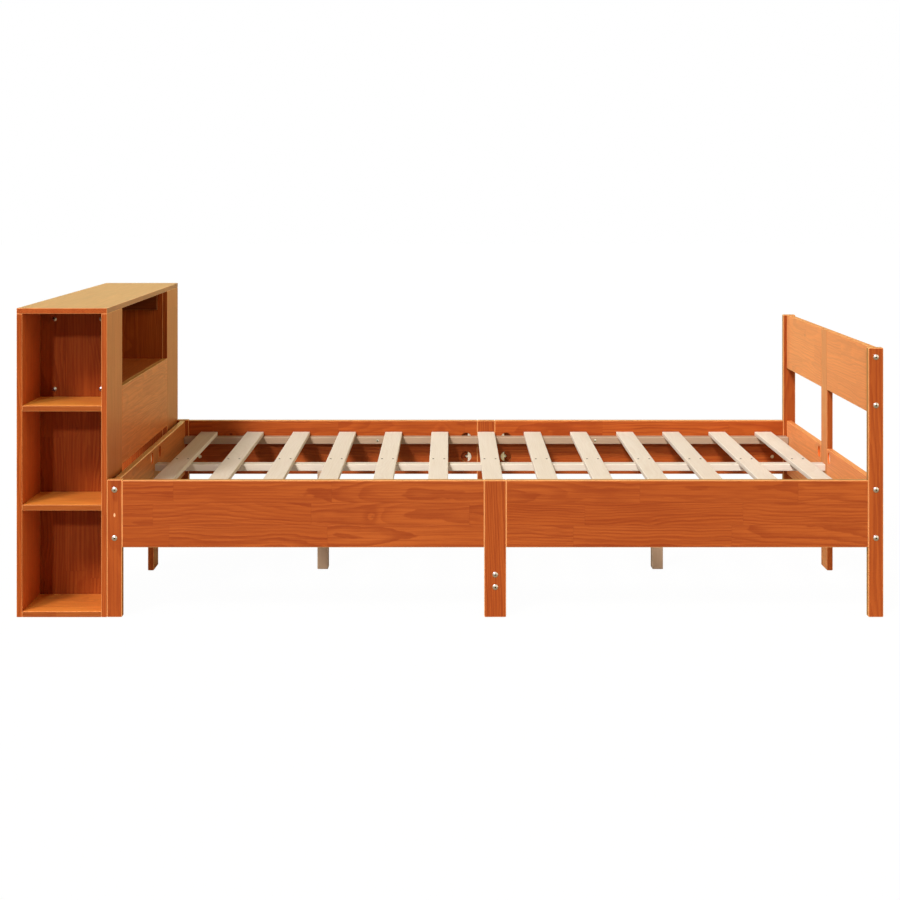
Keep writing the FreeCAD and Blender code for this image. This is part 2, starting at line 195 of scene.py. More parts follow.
def rise(tree, value, low, high):
    """A smooth rise from 0 at low to 1 at high."""
    return wire(tree, "ShaderNodeMapRange", {"Value": value, "From Min": low, "From Max": high},
                interpolation_type="SMOOTHSTEP").outputs["Result"]


def fall(tree, value, low, high):
    """A smooth fall from 1 at low to 0 at high."""
    return maths(tree, "SUBTRACT", 1.0, rise(tree, value, low, high))


def length_of(tree, vector):
    """How long a vector is."""
    return wire(tree, "ShaderNodeVectorMath", {0: vector}, operation="LENGTH").outputs[1]


def noise(tree, place, rates=None, detail=2.0):
    """Soft noise on a place, at its rates per metre along each axis: its value and channels."""
    if rates:
        place = vectors(tree, "MULTIPLY", place, rates)
    cloud = wire(tree, "ShaderNodeTexNoise", {"Vector": place, "Scale": 1.0, "Detail": detail})
    return cloud.outputs[0], parts_of(tree, cloud.outputs[1])


# Sawn pine: growth rings cut by the board's faces, fine fibres along it, a few knots, and staves
# glued side by side and end to end. Place has x along the grain, y across it and z through it.
pine_grain, given, made = new_group(
    "PineGrain", "ShaderNodeTree",
    {"Place": ("Vector", None), "Stave": ("Vector", (0.45, 0.058, 0.4)),
     "Ring Spacing": ("Float", 0.0045), "Knot Share": ("Float", 0.25), "Seed": ("Float", 0.0)},
    {"Rings": "Float", "Fibres": "Float", "Tone": "Float", "Knots": "Float", "Joints": "Float"})
place, stave, seed = given["Place"], given["Stave"], given["Seed"]
end_joint_shift = 7.3
logs_per_layer = 31.0
half_up = vectors(pine_grain, "ADD", vectors(pine_grain, "DIVIDE", place, stave), (0.0, 0.5, 0.5))
along, across, through = parts_of(pine_grain, half_up)
stave_size = parts_of(pine_grain, stave)
row = maths(pine_grain, "FLOOR", across)
layer = maths(pine_grain, "FLOOR", through)
row_chance = wire(pine_grain, "ShaderNodeTexWhiteNoise",
                  {"Vector": together(pine_grain, row, layer, seed)}).outputs[0]
stepped = maths(pine_grain, "MULTIPLY_ADD", row_chance, end_joint_shift, along)
column = maths(pine_grain, "FLOOR", stepped)
log = maths(pine_grain, "MULTIPLY_ADD", layer, logs_per_layer, seed)
stave_chance = wire(pine_grain, "ShaderNodeTexWhiteNoise",
                    {"Vector": together(pine_grain, column, row, log)})
chance = parts_of(pine_grain, stave_chance.outputs[1])
local_x, local_y, local_z = parts_of(pine_grain, place)
row_middle = maths(pine_grain, "MULTIPLY", row, stave_size[1])
layer_middle = maths(pine_grain, "MULTIPLY", layer, stave_size[2])
from_row = maths(pine_grain, "SUBTRACT", local_y, row_middle)
from_layer = maths(pine_grain, "SUBTRACT", local_z, layer_middle)

# The tree's pith wanders past the board, so the rings arch along the faces.
wander_rate = 1.1
wander_shuffle = 50.0
pith_sway_across, pith_sway_deep = 0.06, 0.07
pith_spread_across, pith_spread_deep = 0.14, 0.06
pith_start_across, pith_start_deep = -0.10, 0.015
ripple_rates = (9.0, 30.0, 30.0)
wander_place = together(pine_grain, maths(pine_grain, "MULTIPLY", local_x, wander_rate),
                        maths(pine_grain, "MULTIPLY", chance[0], wander_shuffle), log)
wander = noise(pine_grain, wander_place)[1]
own_across = maths(pine_grain, "MULTIPLY_ADD", chance[0], pith_spread_across, pith_start_across)
own_depth = maths(pine_grain, "MULTIPLY_ADD", chance[1], pith_spread_deep, pith_start_deep)
pith_across = maths(pine_grain, "MULTIPLY_ADD", wander[0], pith_sway_across, own_across)
pith_depth = maths(pine_grain, "MULTIPLY_ADD", wander[1], pith_sway_deep, own_depth)
radius = length_of(pine_grain, together(pine_grain, 0.0,
                                        maths(pine_grain, "SUBTRACT", from_row, pith_across),
                                        maths(pine_grain, "ADD", from_layer, pith_depth)))
ripple = noise(pine_grain, place, ripple_rates, detail=3.0)[0]

# Knots: a few round branch ends, which push the rings aside.
knot_rates = (2.6, 9.0, 9.0)
knot_shuffle = 1.7
knot_squeeze = (0.75, 1.0, 0.2)
least_knot, knot_growth = 0.003, 0.005
knot_rim = (0.6, 1.1)
swell_reach = 0.016
spread_out = vectors(pine_grain, "ADD", vectors(pine_grain, "MULTIPLY", place, knot_rates),
                     together(pine_grain, maths(pine_grain, "MULTIPLY", seed, knot_shuffle), seed,
                              0.0))
branches = wire(pine_grain, "ShaderNodeTexVoronoi", {"Vector": spread_out, "Scale": 1.0})
off_branch = vectors(pine_grain, "SUBTRACT", spread_out, branches.outputs["Position"])
to_branch = vectors(pine_grain, "DIVIDE", off_branch, knot_rates)
from_branch = length_of(pine_grain, vectors(pine_grain, "MULTIPLY", to_branch, knot_squeeze))
branch_chance = parts_of(pine_grain, branches.outputs["Color"])
has_knot = maths(pine_grain, "LESS_THAN", branch_chance[0], given["Knot Share"])
knot_radius = maths(pine_grain, "MULTIPLY_ADD", branch_chance[1], knot_growth, least_knot)
knot_core = fall(pine_grain, maths(pine_grain, "DIVIDE", from_branch, knot_radius), *knot_rim)
knots = maths(pine_grain, "MULTIPLY", has_knot, knot_core)
near_knot = maths(pine_grain, "POWER", maths(pine_grain, "DIVIDE", from_branch, swell_reach), 2.0)
swell = maths(pine_grain, "MULTIPLY", has_knot,
              maths(pine_grain, "EXPONENT", maths(pine_grain, "MULTIPLY", near_knot, -1.0)))

# Each ring darkens slowly through its summer and ends sharply, and some years are paler.
ring_ripple = 0.008
rings_pushed = 1.3
summer = (0.2, 0.85)
autumn = (0.9, 1.0)
palest_year = 0.4
rough_radius = maths(pine_grain, "MULTIPLY_ADD", ripple, ring_ripple, radius)
ring_count = maths(pine_grain, "DIVIDE", rough_radius, given["Ring Spacing"])
phase = maths(pine_grain, "MULTIPLY_ADD", swell, rings_pushed, ring_count)
year = maths(pine_grain, "FRACT", phase)
darkened = maths(pine_grain, "MULTIPLY", rise(pine_grain, year, *summer),
                 fall(pine_grain, year, *autumn))
ring_number = together(pine_grain, maths(pine_grain, "FLOOR", phase), log, 0.0)
year_chance = wire(pine_grain, "ShaderNodeTexWhiteNoise", {"Vector": ring_number}).outputs[0]
year_share = maths(pine_grain, "MULTIPLY_ADD", year_chance, 1.0 - palest_year, palest_year)
rings = maths(pine_grain, "MULTIPLY", darkened, year_share)

# Fibres run along the board and sway with the ripple. Each stave has its own cloudy tone.
fibre_sway = 0.010
fibre_shuffle = 3.0
fine_rates = (9.0, 420.0, 420.0)
broad_rates = (4.0, 210.0, 210.0)
fine_share = 0.4
cloud_rates = (4.0, 16.0, 16.0)
cloud_range = (0.3, 0.7)
stave_share = 0.6
bend = together(pine_grain, maths(pine_grain, "MULTIPLY", chance[1], fibre_shuffle),
                maths(pine_grain, "MULTIPLY", ripple, fibre_sway), 0.0)
bent = vectors(pine_grain, "ADD", place, bend)
fine = noise(pine_grain, bent, fine_rates)[0]
broad = noise(pine_grain, bent, broad_rates)[0]
fibres = maths(pine_grain, "ADD", maths(pine_grain, "MULTIPLY", fine, fine_share),
               maths(pine_grain, "MULTIPLY", broad, 1.0 - fine_share))
cloud = rise(pine_grain, noise(pine_grain, bent, cloud_rates, detail=1.0)[0], *cloud_range)
tone = maths(pine_grain, "MULTIPLY_ADD", chance[2], stave_share,
             maths(pine_grain, "MULTIPLY", cloud, 1.0 - stave_share))

# Glue lines between staves.
glue_line = 0.0005
side_gap = maths(pine_grain, "SUBTRACT", maths(pine_grain, "MULTIPLY", stave_size[1], 0.5),
                 maths(pine_grain, "ABSOLUTE", from_row))
end_gap = maths(pine_grain, "MULTIPLY", stave_size[0],
                maths(pine_grain, "PINGPONG", stepped, 0.5))
nearest_gap = maths(pine_grain, "MINIMUM", side_gap, end_gap)
joints = fall(pine_grain, nearest_gap, glue_line, 3 * glue_line)
for title, value in {"Rings": rings, "Fibres": fibres, "Tone": tone, "Knots": knots,
                     "Joints": joints}.items():
    pine_grain.links.new(value, made[title])

# Painted highlights on the arrises: where the surface turns between two faces of a square-cut
# board, it is painted lighter. The reach is half the piece's size, and a piece is highlighted only
# near two of its outer faces; one that is given no reach is highlighted wherever it turns.
turned = (0.02, 0.22)
arris_width = (0.003, 0.005)
patch_rates = (45.0, 45.0, 45.0)
patchiness = 0.5
arris_highlights, given, made = new_group(
    "PaintedArrisHighlights", "ShaderNodeTree",
    {"Normal": ("Vector", None), "Place": ("Vector", None), "Reach": ("Vector", None),
     "Highlight Amount": ("Float", 0.7)},
    {"Highlight": "Float"})
lean_x, lean_y, lean_z = parts_of(arris_highlights, vectors(arris_highlights, "ABSOLUTE", given["Normal"]))
flatness = maths(arris_highlights, "MAXIMUM", lean_x, maths(arris_highlights, "MAXIMUM", lean_y, lean_z))
turning = rise(arris_highlights, maths(arris_highlights, "SUBTRACT", 1.0, flatness), *turned)
short_of_face = vectors(arris_highlights, "SUBTRACT", given["Reach"],
                        vectors(arris_highlights, "ABSOLUTE", given["Place"]))
short_x, short_y, short_z = parts_of(arris_highlights, short_of_face)
nearer = maths(arris_highlights, "MINIMUM", short_x, short_y)
farther = maths(arris_highlights, "MAXIMUM", short_x, short_y)
second_nearest = maths(arris_highlights, "MAXIMUM", nearer,
                       maths(arris_highlights, "MINIMUM", farther, short_z))
turning = maths(arris_highlights, "MULTIPLY", turning,
                fall(arris_highlights, second_nearest, *arris_width))
patches = noise(arris_highlights, given["Place"], patch_rates)[0]
highlight_here = maths(arris_highlights, "MULTIPLY_ADD", patches, patchiness,
                  maths(arris_highlights, "SUBTRACT", given["Highlight Amount"], patchiness / 2))
arris_highlights.links.new(maths(arris_highlights, "MULTIPLY", turning, highlight_here), made["Highlight"])


def own_place(tree, middle, grain, face):
    """Place from a piece's middle: x along its grain, y across its wide face, z through it."""
    axes = {"x": Vector((1, 0, 0)), "y": Vector((0, 1, 0)), "z": Vector((0, 0, 1))}
    turn = Matrix((axes[grain], axes[face], axes[grain].cross(axes[face])))
    mapping = wire(tree, "ShaderNodeMapping", {
        "Vector": wire(tree, "ShaderNodeTexCoord").outputs["Object"],
        "Rotation": turn.to_euler(), "Location": -(turn @ middle)})
    return mapping.outputs[0]


palest = 0.95
streak_range = (0.42, 0.62)
knot_contrast = 0.85
fibre_roughness = 0.16
ring_height = 0.5
grain_depth = 0.0004
sheen_roughness = 0.3


def wood(name, place_in, stave, seed, finish, painted_light, reach=(0.0, 0.0, 0.0)):
    """Pine in a finish, its colours scaled to paint in its light; place_in makes the place in its
    tree.
    """
    material = bpy.data.materials.new(name)
    material.use_nodes = True
    tree = material.node_tree
    shader = tree.nodes["Principled BSDF"]
    colours = {}
    for part in ("light", "deep", "dark", "knot", "painted_highlight"):
        scale = min(painted_light, 1.0) if part == "painted_highlight" else painted_light
        colours[part] = (*(min(channel * scale, palest) for channel in finish[part]), 1.0)
    place = place_in(tree)
    pattern = wire(tree, "ShaderNodeGroup", {
        "Place": place, "Stave": stave, "Seed": seed, "Ring Spacing": finish["ring_spacing"],
        "Knot Share": finish["knot_share"]}, node_tree=pine_grain)
    rings, fibres, tone, knots, joints = pattern.outputs
    edges = wire(tree, "ShaderNodeGroup", {
        "Normal": wire(tree, "ShaderNodeTexCoord").outputs["Normal"], "Place": place,
        "Reach": reach, "Highlight Amount": finish["highlight_amount"]}, node_tree=arris_highlights)
    streaks = rise(tree, fibres, *streak_range)
    # The last layer paints a highlight along the arrises.
    layers = ((maths(tree, "MULTIPLY", rings, finish["ring_contrast"]), "dark"),
              (maths(tree, "MULTIPLY", streaks, finish["fibre_contrast"]), "dark"),
              (maths(tree, "MULTIPLY", joints, finish["joint_contrast"]), "knot"),
              (maths(tree, "MULTIPLY", knots, knot_contrast), "knot"),
              (edges.outputs["Highlight"], "painted_highlight"))
    colour = blend_colours(tree, tone, colours["light"], colours["deep"])
    for share, part in layers:
        colour = blend_colours(tree, share, colour, colours[part])
    tree.links.new(colour, shader.inputs["Base Color"])
    roughness = maths(tree, "MULTIPLY_ADD", fibres, fibre_roughness,
                      finish["roughness"] - fibre_roughness / 2)
    tree.links.new(roughness, shader.inputs["Roughness"])
    height = maths(tree, "MULTIPLY_ADD", rings, ring_height, fibres)
    height = maths(tree, "SUBTRACT", height, joints)
    bump = wire(tree, "ShaderNodeBump",
                {"Strength": finish["bump"], "Distance": grain_depth, "Height": height})
    tree.links.new(bump.outputs[0], shader.inputs["Normal"])
    shader.inputs["Specular IOR Level"].default_value = finish["gloss"]
    shader.inputs["Sheen Weight"].default_value = finish["sheen"]
    shader.inputs["Sheen Roughness"].default_value = sheen_roughness
    shader.inputs["Sheen Tint"].default_value = finish["sheen_tint"]
    return material


def dress(name, grain, face, stave, seed, finish, painted_light=1.0, group=False):
    """Give a CAD node its wood, with the grain set out from the middle of its piece or group."""
    low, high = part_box(name)
    reach = (0.0, 0.0, 0.0)
    if not group:
        depth = ({"x", "y", "z"} - {grain, face}).pop()
        reach = [getattr(high - low, axis) / 2 for axis in (grain, face, depth)]

    def place_in(tree):
        return own_place(tree, (low + high) / 2, grain, face)

    pine = wood(name + "_pine", place_in, stave, seed, finish, painted_light, reach)
    nodes[name].material_slots[0].material = pine


# A finish is its colours, its pattern's contrasts and its varnish. A piece's painted light scale
# multiplies the colours, painting in how brightly or dimly the light falls on that piece.
stained = {
    "light": (0.385, 0.085, 0.0150), "deep": (0.325, 0.063, 0.0095), "dark": (0.200, 0.026, 0.0040),
    "knot": (0.100, 0.014, 0.0030), "painted_highlight": (0.850, 0.380, 0.1400), "ring_spacing": 0.0048,
    "knot_share": 0.25, "ring_contrast": 0.60, "fibre_contrast": 0.45, "joint_contrast": 0.10,
    "highlight_amount": 1.0, "roughness": 0.42, "bump": 0.30, "gloss": 0.12, "sheen": 0.4,
    "sheen_tint": (1.0, 0.88, 0.3, 1.0),
}
whole_log = (40.0, 0.4, 0.4)

corner_posts = ("head_post_right", "head_post_left", "foot_post_right", "foot_post_left")
for seed, name in enumerate(corner_posts):
    dress(name, "z", "x", whole_log, 3.0 + seed, stained)

# A pale teardrop knot shows between the bolts of the right head post.
pale_knot_height = 0.271
pale_knot_size = (0.0032, 0.01, 0.0065)
pale_knot_rim = (0.5, 1.0)
pale_knot_colour = (0.78, 0.42, 0.22, 1.0)
post_low, post_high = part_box("head_post_right")
knot_middle = Vector(((post_low.x + post_high.x) / 2, post_low.y, pale_knot_height))
post_tree = nodes["head_post_right"].material_slots[0].material.node_tree
post_colour = post_tree.nodes["Principled BSDF"].inputs["Base Color"]
post_place = wire(post_tree, "ShaderNodeTexCoord").outputs["Object"]
off_knot = vectors(post_tree, "SUBTRACT", post_place, knot_middle)
from_knot = length_of(post_tree, vectors(post_tree, "DIVIDE", off_knot, pale_knot_size))
knot_share = fall(post_tree, from_knot, *pale_knot_rim)
stained_colour = post_colour.links[0].from_socket
post_tree.links.new(blend_colours(post_tree, knot_share, stained_colour, pale_knot_colour),
                    post_colour)


# ---- The head boards, foot boards and mid posts ----
# Pine panels 18 mm thick, glued up from staves, in two halves that meet at a wide flat mid post at
# each end of the bed. Their grain runs across the bed; the mid posts' grain runs upwards.

panel_stave = (0.42, 0.0595, 0.4)
mid_post_stave = (0.9, 0.042, 0.4)
foot_stain = dict(stained, sheen=0.8, sheen_tint=(1.0, 0.60, 0.26, 1.0), ring_contrast=0.45,
                  fibre_contrast=0.3, highlight_amount=0.6)
# The boards and mid posts are painted brighter than the posts, painting in the light on their
# faces.
for seed, side in enumerate(("right", "left")):
    dress(f"head_board_{side}", "y", "z", panel_stave, 11.0 + seed, stained, painted_light=1.5)
    dress(f"foot_board_{side}", "y", "z", panel_stave, 13.0 + seed, foot_stain, painted_light=2.2)
    dress(f"foot_panel_{side}", "y", "z", panel_stave, 15.0 + seed, foot_stain, painted_light=2.0)
dress("head_mid_post", "z", "y", mid_post_stave, 21.0, stained, painted_light=1.2)
dress("foot_mid_post", "z", "y", mid_post_stave, 22.0, foot_stain, painted_light=1.6)

# Faces that look along y, towards the bed's sides, are painted darker: painted shade, which lets
# the rest of a piece be painted brighter.
facing_sideways = (0.7, 0.95)
painted_shade_black = (0.0, 0.0, 0.0, 1.0)
side_face_shade, given, made = new_group(
    "SideFacePaintedShade", "ShaderNodeTree",
    {"Colour": ("Color", None), "Normal": ("Vector", None), "Share": ("Float", 0.4)},
    {"Colour": "Color"})
lean_y = parts_of(side_face_shade, vectors(side_face_shade, "ABSOLUTE", given["Normal"]))[1]
side_shade_share = maths(side_face_shade, "MULTIPLY", rise(side_face_shade, lean_y, *facing_sideways),
                     given["Share"])
side_shaded_colour = blend_colours(side_face_shade, side_shade_share, given["Colour"], painted_shade_black)
side_face_shade.links.new(side_shaded_colour, made["Colour"])


def paint_side_shade(name, share):
    """Paint shade on the faces of a dressed CAD node that look towards the bed's sides."""
    tree = nodes[name].material_slots[0].material.node_tree
    base_colour = tree.nodes["Principled BSDF"].inputs["Base Color"]
    edges = wire(tree, "ShaderNodeGroup", {
        "Colour": base_colour.links[0].from_socket, "Share": share,
        "Normal": wire(tree, "ShaderNodeTexCoord").outputs["Normal"]}, node_tree=side_face_shade)
    tree.links.new(edges.outputs["Colour"], base_colour)


# Painted shade on the foot mid post's faces towards the bed's sides.
paint_side_shade("foot_mid_post", 0.45)


# ---- The side rails, centre legs and low cross bar ----
# Each side has two half rails, 25 mm pine glued up from three staves, that meet at a centre leg.
# A low bar joins the two legs across the bed.

# The far rails are painted brighter than the near ones, painting light into the shade they lie in.
rail_painted_light = {"side_rail_head_right": 1.0, "side_rail_foot_right": 1.0,
                  "side_rail_head_left": 1.1, "side_rail_foot_left": 1.2}
for seed, (name, painted_light) in enumerate(rail_painted_light.items()):
    dress(name, "x", "z", panel_stave, 31.0 + seed, stained, painted_light)
for seed, name in enumerate(("centre_leg_right", "centre_leg_left")):
    dress(name, "z", "x", whole_log, 41.0 + seed, stained)
dress("centre_crossbar", "y", "z", whole_log, 45.0, stained)


# ---- The frame's bolts ----
# Zinc-plated steel bolts with low domed heads and a hexagon socket, put through the posts and legs
# from outside. Those of the side rails sit in recesses in the posts' end faces.

crystal_rate = 900.0
crystal_share = 0.3
zinc_cloud_rates = (420.0, 420.0, 420.0)
zinc_cloud_share = 0.8
cloud_roughness = 0.25
zinc_bump_share = 0.15
zinc_bump_depth = 0.0001
# Near black: the painted shade, with some grime, in sockets and recesses.
shade_and_grime_colour = (0.02, 0.015, 0.012, 1.0)


def zinc(name, dull, bright, roughness):
    """Zinc plate on steel: cloudy crystals, each a little duller or brighter than the next."""
    material = bpy.data.materials.new(name)
    material.use_nodes = True
    tree = material.node_tree
    shader = tree.nodes["Principled BSDF"]
    place = wire(tree, "ShaderNodeTexCoord").outputs["Object"]
    cloud = noise(tree, place, zinc_cloud_rates, detail=3.0)[0]
    crystals = wire(tree, "ShaderNodeTexVoronoi", {"Vector": place, "Scale": crystal_rate})
    crystal_chance = parts_of(tree, crystals.outputs["Color"])[0]
    share = maths(tree, "MULTIPLY_ADD", crystal_chance, crystal_share,
                  maths(tree, "MULTIPLY", cloud, zinc_cloud_share))
    plate = blend_colours(tree, share, dull, bright)
    # Faces marked as a recess are darkened: painted shade in the sockets and cross recesses, with
    # some grime.
    shade_and_grime = wire(tree, "ShaderNodeAttribute", attribute_name="recess").outputs["Fac"]
    tree.links.new(blend_colours(tree, shade_and_grime, plate, shade_and_grime_colour), shader.inputs["Base Color"])
    rough = maths(tree, "MULTIPLY_ADD", cloud, cloud_roughness, roughness)
    tree.links.new(maths(tree, "MAXIMUM", rough, shade_and_grime), shader.inputs["Roughness"])
    bump = wire(tree, "ShaderNodeBump", {"Strength": zinc_bump_share, "Distance": zinc_bump_depth,
                                         "Height": cloud})
    tree.links.new(bump.outputs[0], shader.inputs["Normal"])
    shader.inputs["Metallic"].default_value = 1.0
    return material


def solids_in(name):
    """The corner points of each separate solid in a CAD node."""
    shell = bmesh.new()
    shell.from_mesh(nodes[name].data)
    bmesh.ops.remove_doubles(shell, verts=shell.verts, dist=1e-6)
    solids = []
    seen = set()
    for first in shell.verts:
        if first in seen:
            continue
        seen.add(first)
        solid = [first]
        for corner in solid:
            for edge in corner.link_edges:
                beyond = edge.other_vert(corner)
                if beyond not in seen:
                    seen.add(beyond)
                    solid.append(beyond)
        solids.append([corner.co.copy() for corner in solid])
    shell.free()
    return solids


def screws_in(name):
    """Each bolt or screw of a CAD node: the top of its head, the way that looks, and its length."""
    found = []
    for points in solids_in(name):
        low = Vector([min(point[axis] for point in points) for axis in range(3)])
        high = Vector([max(point[axis] for point in points) for axis in range(3)])
        middle = (low + high) / 2
        along = max(range(3), key=lambda axis: high[axis] - low[axis])
        across = [axis for axis in range(3) if axis != along]
        widest = max(points, key=lambda point: sum((point[axis] - middle[axis]) ** 2
                                                   for axis in across))
        look = Vector((0.0, 0.0, 0.0))
        look[along] = 1.0 if widest[along] > middle[along] else -1.0
        length = high[along] - low[along]
        found.append((middle + look * length / 2, look, length))
    return found


def grown(name, start_mesh, tree, sizes):
    """The plain mesh that a geometry node tree makes of a start mesh, with its sizes by name."""
    start = bpy.data.objects.new(name + "_start", start_mesh)
    bpy.context.scene.collection.objects.link(start)
    maker = start.modifiers.new("maker", "NODES")
    maker.node_group = tree
    for socket in tree.interface.items_tree:
        if socket.in_out == "INPUT" and socket.name in sizes:
            maker[socket.identifier] = sizes[socket.name]
    graph = bpy.context.evaluated_depsgraph_get()
    piece = bpy.data.objects.new(name, bpy.data.meshes.new_from_object(start.evaluated_get(graph)))
    start.modifiers.remove(maker)
    bpy.data.objects.remove(start)
    bpy.context.scene.collection.objects.link(piece)
    return piece


def joined(tree, *shapes):
    """Several shapes as one."""
    join = tree.nodes.new("GeometryNodeJoinGeometry")
    for shape in shapes:
        tree.links.new(shape, join.inputs[0])
    return join.outputs[0]


def shifted(tree, shape, height):
    """A shape moved up its own axis."""
    return wire(tree, "GeometryNodeTransform",
                {"Geometry": shape, "Translation": together(tree, 0.0, 0.0, height)}).outputs[0]


def recess(tree, shape):
    """A shape that cuts a recess, marked so that the cut faces get painted shade and grime."""
    return wire(tree, "GeometryNodeStoreNamedAttribute",
                {"Geometry": shape, "Name": "recess", 3: 1.0},
                data_type="FLOAT", domain="FACE").outputs[0]


crease_angle = 0.6
turn_seed = 7


def planted(tree, seats, shape, finish):
    """A shape at each seat, looking the seat's way, turned by chance about its own axis."""
    look = wire(tree, "GeometryNodeInputNamedAttribute", {"Name": "look"},
                data_type="FLOAT_VECTOR").outputs[0]
    upright = wire(tree, "FunctionNodeAlignRotationToVector", {"Vector": look}, axis="Z").outputs[0]
    chance = wire(tree, "FunctionNodeRandomValue", {2: 0.0, 3: 2 * math.pi, 8: turn_seed},
                  data_type="FLOAT").outputs[1]
    turn = wire(tree, "FunctionNodeAxisAngleToRotation",
                {"Axis": (0.0, 0.0, 1.0), "Angle": chance}).outputs[0]
    facing = wire(tree, "FunctionNodeRotateRotation", {"Rotation": upright, "Rotate By": turn},
                  rotation_space="LOCAL").outputs[0]
    copies = wire(tree, "GeometryNodeInstanceOnPoints",
                  {"Points": seats, "Instance": shape, "Rotation": facing}).outputs[0]
    real = wire(tree, "GeometryNodeRealizeInstances", {"Geometry": copies}).outputs[0]
    smooth = wire(tree, "GeometryNodeSetShadeSmooth",
                  {"Geometry": real, "Shade Smooth": True}).outputs[0]
    bend = wire(tree, "GeometryNodeInputMeshEdgeAngle").outputs[0]
    sharp = maths(tree, "GREATER_THAN", bend, crease_angle)
    creased = wire(tree, "GeometryNodeSetShadeSmooth",
                   {"Geometry": smooth, "Selection": sharp, "Shade Smooth": False},
                   domain="EDGE").outputs[0]
    return wire(tree, "GeometryNodeSetMaterial",
                {"Geometry": creased, "Material": finish}).outputs[0]


domed_bolt, given, made = new_group(
    "DomedBolt", "GeometryNodeTree",
    {"Seats": ("Geometry", None), "Head Radius": ("Float", 0.0073),
     "Head Height": ("Float", 0.0032), "Rim Height": ("Float", 0.001),
     "Socket Width": ("Float", 0.004), "Socket Depth": ("Float", 0.002),
     "Shank Radius": ("Float", 0.003), "Shank Length": ("Float", 0.06),
     "Finish": ("Material", None)},
    {"Bolts": "Geometry"})
disc = wire(domed_bolt, "GeometryNodeMeshCylinder",
            {"Vertices": 48, "Fill Segments": 8, "Radius": given["Head Radius"],
             "Depth": given["Head Height"]}).outputs["Mesh"]
disc_place = wire(domed_bolt, "GeometryNodeInputPosition").outputs[0]
disc_x, disc_y, disc_z = parts_of(domed_bolt, disc_place)
outward = length_of(domed_bolt, together(domed_bolt, disc_x, disc_y, 0.0))
share_out = maths(domed_bolt, "DIVIDE", outward, given["Head Radius"])
sunk = maths(domed_bolt, "MULTIPLY", maths(domed_bolt, "MULTIPLY", share_out, share_out),
             maths(domed_bolt, "SUBTRACT", given["Rim Height"], given["Head Height"]))
dome = wire(domed_bolt, "GeometryNodeSetPosition",
            {"Geometry": disc, "Selection": maths(domed_bolt, "GREATER_THAN", disc_z, 0.0),
             "Offset": together(domed_bolt, 0.0, 0.0, sunk)}).outputs[0]
dome = shifted(domed_bolt, dome, maths(domed_bolt, "MULTIPLY", given["Head Height"], 0.5))
corner_radius = maths(domed_bolt, "DIVIDE", given["Socket Width"], math.sqrt(3))
cutter_length = maths(domed_bolt, "MULTIPLY", given["Socket Depth"], 2.0)
key_hole = wire(domed_bolt, "GeometryNodeMeshCylinder",
                {"Vertices": 6, "Radius": corner_radius, "Depth": cutter_length}).outputs["Mesh"]
key_hole = recess(domed_bolt, shifted(domed_bolt, key_hole, given["Head Height"]))
head = wire(domed_bolt, "GeometryNodeMeshBoolean", {"Mesh 1": dome, "Mesh 2": key_hole},
            operation="DIFFERENCE").outputs[0]
shank = wire(domed_bolt, "GeometryNodeMeshCylinder",
             {"Vertices": 16, "Radius": given["Shank Radius"],
              "Depth": given["Shank Length"]}).outputs["Mesh"]
shank = shifted(domed_bolt, shank, maths(domed_bolt, "MULTIPLY", given["Shank Length"], -0.5))
bolts = planted(domed_bolt, given["Seats"], joined(domed_bolt, head, shank), given["Finish"])
domed_bolt.links.new(bolts, made["Bolts"])


def fit_screws(name, tree, replaced, sizes, head_height=0.0):
    """Grow the bolts or screws of a CAD node where they are, and let them stand for it."""
    screws = screws_in(replaced)
    seats = bpy.data.meshes.new(name + "_seats")
    seats.from_pydata([top - look * head_height for top, look, length in screws], [], [])
    looks = seats.attributes.new("look", "FLOAT_VECTOR", "POINT")
    looks.data.foreach_set("vector", [part for top, look, length in screws for part in look])
    sizes["Shank Length"] = screws[0][2] - head_height
    piece = grown(name, seats, tree, sizes)
    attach(piece, "root")
    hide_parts(replaced)


zinc_plate = zinc("zinc_plate", dull=(0.20, 0.18, 0.24, 1.0), bright=(0.38, 0.35, 0.45, 1.0),
                  roughness=0.22)
frame_head_height = 0.0032
for name, replaced in (("post_bolt_set", "post_bolts"), ("rail_bolt_set", "rail_bolts")):
    fit_screws(name, domed_bolt, replaced,
               {"Head Radius": 0.0073, "Head Height": frame_head_height, "Finish": zinc_plate},
               frame_head_height)


# ---- Barrel nuts, joining rods, half-moon washers and nuts ----
# The bolts screw into barrel nuts let into the boards. Threaded rods pull the half rails and half
# boards against the centre legs and mid posts, with a half-moon washer and a nut in a round hole.

bright_zinc = zinc("bright_zinc", dull=(0.62, 0.60, 0.64, 1.0), bright=(0.90, 0.88, 0.94, 1.0),
                   roughness=0.35)
for name in ("barrel_nuts", "half_moon_washers", "rod_nuts"):
    nodes[name].material_slots[0].material = bright_zinc

rod_pitch = 0.001
thread_sharpness = 0.8
thread_depth = 0.0006
rod_steel = zinc("rod_steel", dull=(0.30, 0.29, 0.28, 1.0), bright=(0.50, 0.48, 0.46, 1.0),
                 roughness=0.26)
rod_tree = rod_steel.node_tree
rod_place = parts_of(rod_tree, wire(rod_tree, "ShaderNodeTexCoord").outputs["Object"])
along_rod = maths(rod_tree, "ADD", rod_place["X"], rod_place["Y"])
thread = maths(rod_tree, "PINGPONG", maths(rod_tree, "DIVIDE", along_rod, rod_pitch), 0.5)
thread_bump = wire(rod_tree, "ShaderNodeBump", {"Strength": thread_sharpness,
                                                "Distance": thread_depth, "Height": thread})
rod_tree.links.new(thread_bump.outputs[0], rod_tree.nodes["Principled BSDF"].inputs["Normal"])
nodes["joining_rods"].material_slots[0].material = rod_steel


# ---- The ledgers, the middle beam and its legs ----
# Bare pine: a ledger is screwed along each side rail, and a beam in two halves runs down the middle
# on two short legs. The ledgers and legs are a rosier, browner wood than the beam and slats.

